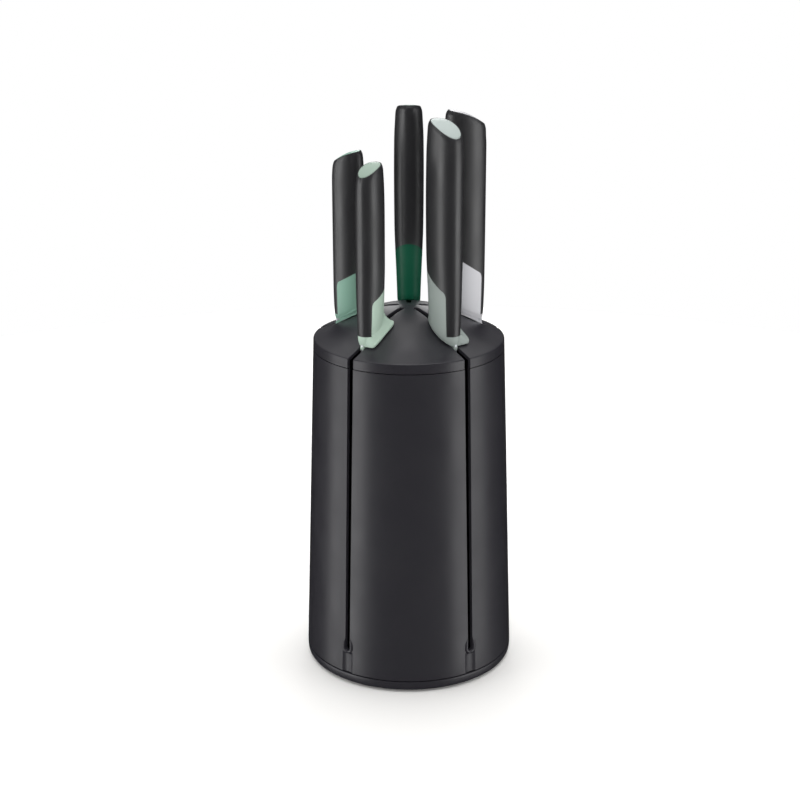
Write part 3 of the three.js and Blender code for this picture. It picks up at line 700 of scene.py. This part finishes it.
# %% [markdown]
# ## The tool rest
# At its foot each bolster flares out into a rest that lies parallel to the lid, so the blade stays off the
# worktop when the knife is laid down. On the two front knives it flares on one side only, as a sharp-cornered
# wing, and is rounded under on the other. A concave fillet runs from the rest up into the bolster.
# It is stacked from ovals too: wide and almost square-cornered below, drawn in to the bolster above.

# %% The tool rest, its keel and its key
REST_STEPS = [(0, 0, 0.3), (0.12, 0, 0.1), (0.34, 0, 0), (1.6, 0, 0), (1.82, 0.02, 0.08), (1.9, 0.07, 0.1),
              (2.05, 0.14, 0.1), (2.4, 0.25, 0.1), (2.9, 0.38, 0.1), (3.6, 0.52, 0.1), (4.4, 0.66, 0.1),
              (5.4, 0.8, 0.1), (6.6, 0.92, 0.1), (8.0, 1, 0.1)]


def tool_rest(handle, rest):
    wing, blind, outer, inner, lift = rest
    corner = 9 if wing > 1.5 * blind else 2.4

    def place(step, turn):
        height, drawn, shrink = step
        inner_r = inner + (handle["inner"] - inner) * drawn + shrink
        left = blind + (handle["neck"] - blind) * drawn - shrink
        right = wing + (handle["neck"] - wing) * drawn - shrink
        r, t = oval_point(turn, inner_r, outer - shrink, left, right, 2.2, corner + (2.4 - corner) * drawn)
        return r, t, handle["seat"] + lift + height + REST_SLOPE * (r - handle["axis"])

    return stacked(REST_STEPS, place)


def rest_height(handle, lift, r):
    return handle["seat"] + lift + REST_SLOPE * (r - handle["axis"])


def keel(handle, rest):
    """The narrow foot under a lifted rest, which stands on the slot's edges."""
    inner, outer, lift = handle["inner"] + 2, rest[2] - 3, rest[4]
    return plate([(inner, rest_height(handle, 0, inner)), (outer, rest_height(handle, 0, outer)),
                  (outer, rest_height(handle, lift + 2, outer)), (inner, rest_height(handle, lift + 2, inner))],
                 5.2)


def key():
    """The small wedge that drops into the slot and centres the knife."""
    work = plate([(45.5, 228), (45.5, 224.5), (47.6, 222.4), (48.9, 222), (49.9, 224), (49.9, 225.6), (49.2, 227)], 1.3)
    bmesh.ops.bevel(work, geom=work.edges[:], offset=0.3, offset_type="OFFSET", segments=2, profile=0.5,
                    affect="EDGES", material=-1, clamp_overlap=True)
    return work


# %% Make the handles
def make_handle(knife, handle, rest):
    turn = turned_to(AZIMUTHS[knife])
    form = handle_form(handle, rest[4])
    outline = split_outline(handle)
    grip = combined(form, plate(outline, 30), "DIFFERENCE")
    bolster = combined(form, plate(outline, 30), "INTERSECT")
    foot = combined(tool_rest(handle, rest), plate(outline, 30), "INTERSECT")
    bolster = combined(bolster, foot, "UNION")
    if rest[4]:
        bolster = combined(bolster, keel(handle, rest), "UNION")
    bolster = combined(bolster, key(), "UNION")
    for work, node, finish, slot in ((grip, "grip", soft_grip, "soft_grip"),
                                     (bolster, "bolster", bolster_pp[knife], f"{knife}_colour"),
                                     (end_cap(handle), "end_cap", cap_pp[knife], f"{knife}_colour")):
        bmesh.ops.rotate(work, verts=work.verts, matrix=turn)
        finish_piece(work, f"{knife}_{node}_skin", f"{knife}_knife", finish, slot, [f"{knife}_{node}"])


for knife, made in KNIVES.items():
    make_handle(knife, made["handle"], made["rest"])

# %% [markdown]
# ## The blades
# A blade is a long wedge: flat near its spine, ground thinner towards the edge, and finished with a narrow
# bevel that makes it sharp. The bread knife's edge is scalloped, so that it bites into a crust.
# One face is laid out as a grid, with its columns down the blade and its rows from spine to edge,
# and mirrored to give the other. The two meet along the spine and the edge.

# %% The outline of a blade
SPINE_R, HALF_THICK = 49.8, 0.9


def bezier(start, pull, end, steps=12):
    return [tuple((1 - t) ** 2 * a + 2 * t * (1 - t) * b + t * t * c for a, b, c in zip(start, pull, end))
            for t in (k / steps for k in range(steps + 1))]


def blade_outline(handle, width, length, belly):
    """The edge's and the spine's radius at each height, as two lists that run upwards."""
    lid_at_spine, edge = 225.0, SPINE_R - width
    top, tip = lid_at_spine + 4, lid_at_spine - length
    heel = handle["inner"] - 1.4
    heel_z = follow(LID_CURVE, max(heel, edge))
    lower = bezier((SPINE_R - 3, tip), (edge + width * 0.15, tip + belly * 0.25), (edge, tip + belly))
    upper = bezier((edge, heel_z - 12), (edge + 1.5, heel_z - 3), (max(heel, edge + 0.5), heel_z - 0.5))
    edge_line = [(z, r) for r, z in lower + upper] + [(heel_z + 12, max(heel, edge + 0.5))]
    spine_line = [(z, r) for r, z in bezier((SPINE_R - 3, tip), (SPINE_R, tip + 4), (SPINE_R, tip + 14))]
    return edge_line, spine_line + [(top + 20, SPINE_R)], tip, top


def straight(points, x):
    """Reads a broken line of [x, y] points at x."""
    x = max(points[0][0], min(points[-1][0], x))
    for (x0, y0), (x1, y1) in zip(points, points[1:]):
        if x <= x1:
            return y0 if x1 == x0 else y0 + (y1 - y0) * (x - x0) / (x1 - x0)
    return points[-1][1]


# %% Make the blades
# Share of the width from spine to edge, and the half thickness there as a share of the full one.
BLADE_ROWS = [(0, 0), (0.0, 0.75), (0.008, 0.95), (0.02, 1), (0.12, 0.98), (0.3, 0.86), (0.5, 0.68),
              (0.7, 0.48), (0.86, 0.33), (0.955, 0.24), (1, 0)]
SERRATION = {"bread": (7.5, 1.1)}  # pitch and depth of the scallops in mm


def blade(knife, handle, sizes):
    edge_line, spine_line, tip, top = blade_outline(handle, *sizes)
    pitch, depth = SERRATION.get(knife, (0, 0))
    columns = 320 if pitch else 90
    low = 6 if pitch else 12

    def place(column, level):
        share = column / (columns - 1)
        # Columns crowd together towards the tip, where the outline turns fastest.
        z = tip + (top - tip) * (share ** 1.0 if pitch else share ** 1.5)
        spine, edge = straight(spine_line, z), straight(edge_line, z)
        if pitch and tip + low < z < top - 24:
            edge += depth * (1 - abs(math.sin(math.pi * (z - tip) / pitch))) * min(1, (z - tip - low) / 8)
        across, thick = BLADE_ROWS[level]
        slim = min(1, (spine - edge) / 9)
        return spine + (edge - spine) * across, HALF_THICK * thick * slim, z, 0

    work = grid_sheet(columns, len(BLADE_ROWS), place)
    bmesh.ops.mirror(work, geom=work.verts[:] + work.edges[:] + work.faces[:], axis="Y", merge_dist=0.001)
    bmesh.ops.remove_doubles(work, verts=work.verts, dist=0.002)
    open_edges = [e for e in work.edges if e.is_boundary]
    bmesh.ops.holes_fill(work, edges=open_edges, sides=0)
    bmesh.ops.rotate(work, verts=work.verts, matrix=turned_to(AZIMUTHS[knife]))
    finish_piece(work, f"{knife}_blade_ground", f"{knife}_knife", blade_steel, "blade_steel",
                 [f"{knife}_blade"], sharp=14)


for knife, made in KNIVES.items():
    blade(knife, made["handle"], made["blade"])

# %% [markdown]
# ## The floor, the light and the camera
# The block is shown on a plain pale floor, as in a catalogue.
# A tall softbox and a tall strip on each side draw the soft upright highlights on the dark plastic.
# An overhead softbox lights the lid and the floor, and two more behind light the lid too.
# A softbox in front and a very large one behind only fill; the pale sky is seen, but lights nothing.

# %% Floor
floor = bmesh.new()
bmesh.ops.create_circle(floor, cap_ends=True, cap_tris=True, radius=0.85, segments=96)
floor_mesh = bpy.data.meshes.new("floor")
floor.to_mesh(floor_mesh)
floor.free()
floor_piece = bpy.data.objects.new("floor", floor_mesh)
bpy.context.scene.collection.objects.link(floor_piece)
floor_piece.location.z = -0.0002
# Black flags keep a white floor out of the reflections in a studio. Here the floor is simply not reflected,
# and the lower ends of the side lights, which a polished table would mirror, shine through it.
floor_piece.visible_glossy = False
floor_piece.visible_shadow = False
pale = bpy.data.materials.new("painted_board_white")
pale.use_nodes = True
pale.node_tree.nodes.clear()
pale_shader = add_node(pale.node_tree, "ShaderNodeBsdfPrincipled",
                       {"Base Color": linear("#f4f3f1"), "Roughness": 0.8, "Specular IOR Level": 0.2})
add_node(pale.node_tree, "ShaderNodeOutputMaterial", links={"Surface": pale_shader.outputs[0]})
floor_mesh.materials.append(pale)

# %% Sky and softboxes
sky = bpy.data.worlds.new("pale_sky")
sky.use_nodes = True
sky.node_tree.nodes["Background"].inputs["Color"].default_value = linear("#ffffff")
sky.node_tree.nodes["Background"].inputs["Strength"].default_value = 1.0
# The pale wall is far away and unlit by the lamps near the block: it is seen, but sends no light back.
sky.cycles_visibility.diffuse = False
sky.cycles_visibility.glossy = False
bpy.context.scene.world = sky


def softbox(name, azimuth, height, distance, size, radiance, aim=(0, 0, 0.15)):
    """A rectangular area light that looks at a point. Azimuth is counted from the front, towards +X."""
    lamp = bpy.data.lights.new(name, "AREA")
    lamp.shape = "RECTANGLE"
    lamp.size, lamp.size_y = size
    lamp.energy = radiance * math.pi * size[0] * size[1]
    held = bpy.data.objects.new(name, lamp)
    bpy.context.scene.collection.objects.link(held)
    turn = math.radians(azimuth)
    held.location = (distance * math.sin(turn), -distance * math.cos(turn), height)
    held.rotation_euler = (Vector(aim) - held.location).to_track_quat("-Z", "Y").to_euler()
    return held


softbox("left_softbox", -63, 0.1, 1.1, (0.4, 1.3), 2.9)
softbox("left_strip", -90, 0.1, 1.1, (0.24, 1.3), 2.6)
softbox("right_softbox", 60, 0.1, 1.1, (0.32, 1.3), 2.6)
softbox("right_strip", 82, 0.1, 1.1, (0.45, 1.3), 1.5)
front = softbox("front_softbox", 0, 0.5, 1.6, (0.5, 0.5), 13)
softbox("top_softbox", 0, 1.6, 0.05, (1.0, 1.0), 2.2, aim=(0, 0, 0))
softbox("rear_top_softbox", 180, 1.3, 0.8, (1.4, 0.7), 1.2, aim=(0, 0, 0.2))
softbox("rear_low_softbox", 180, 0.75, 1.5, (0.45, 0.4), 5, aim=(0, 0, 0.24))
backdrop = softbox("backdrop_softbox", 180, 2.6, 2.4, (10, 7), 1.35, aim=(0, 2.4, 0))
# These two only fill: flags keep their reflections off the shiny lid and handles.
front.visible_glossy = False
backdrop.visible_glossy = False

# %% Camera
# A long lens from about 1.1 m, looking 19 degrees down, with a slight sideways shift.
camera = bpy.data.cameras.new("camera")
camera.lens, camera.sensor_width, camera.shift_x = 77.83, 36, -0.0111
camera_held = bpy.data.objects.new("camera", camera)
bpy.context.scene.collection.objects.link(camera_held)
camera_held.location = (0, -1.0692, 0.5438)
camera_held.rotation_euler = (Vector((0, 0, 0.177)) - camera_held.location).to_track_quat("-Z", "Y").to_euler()
bpy.context.scene.camera = camera_held
bpy.context.scene.view_settings.view_transform = "Standard"
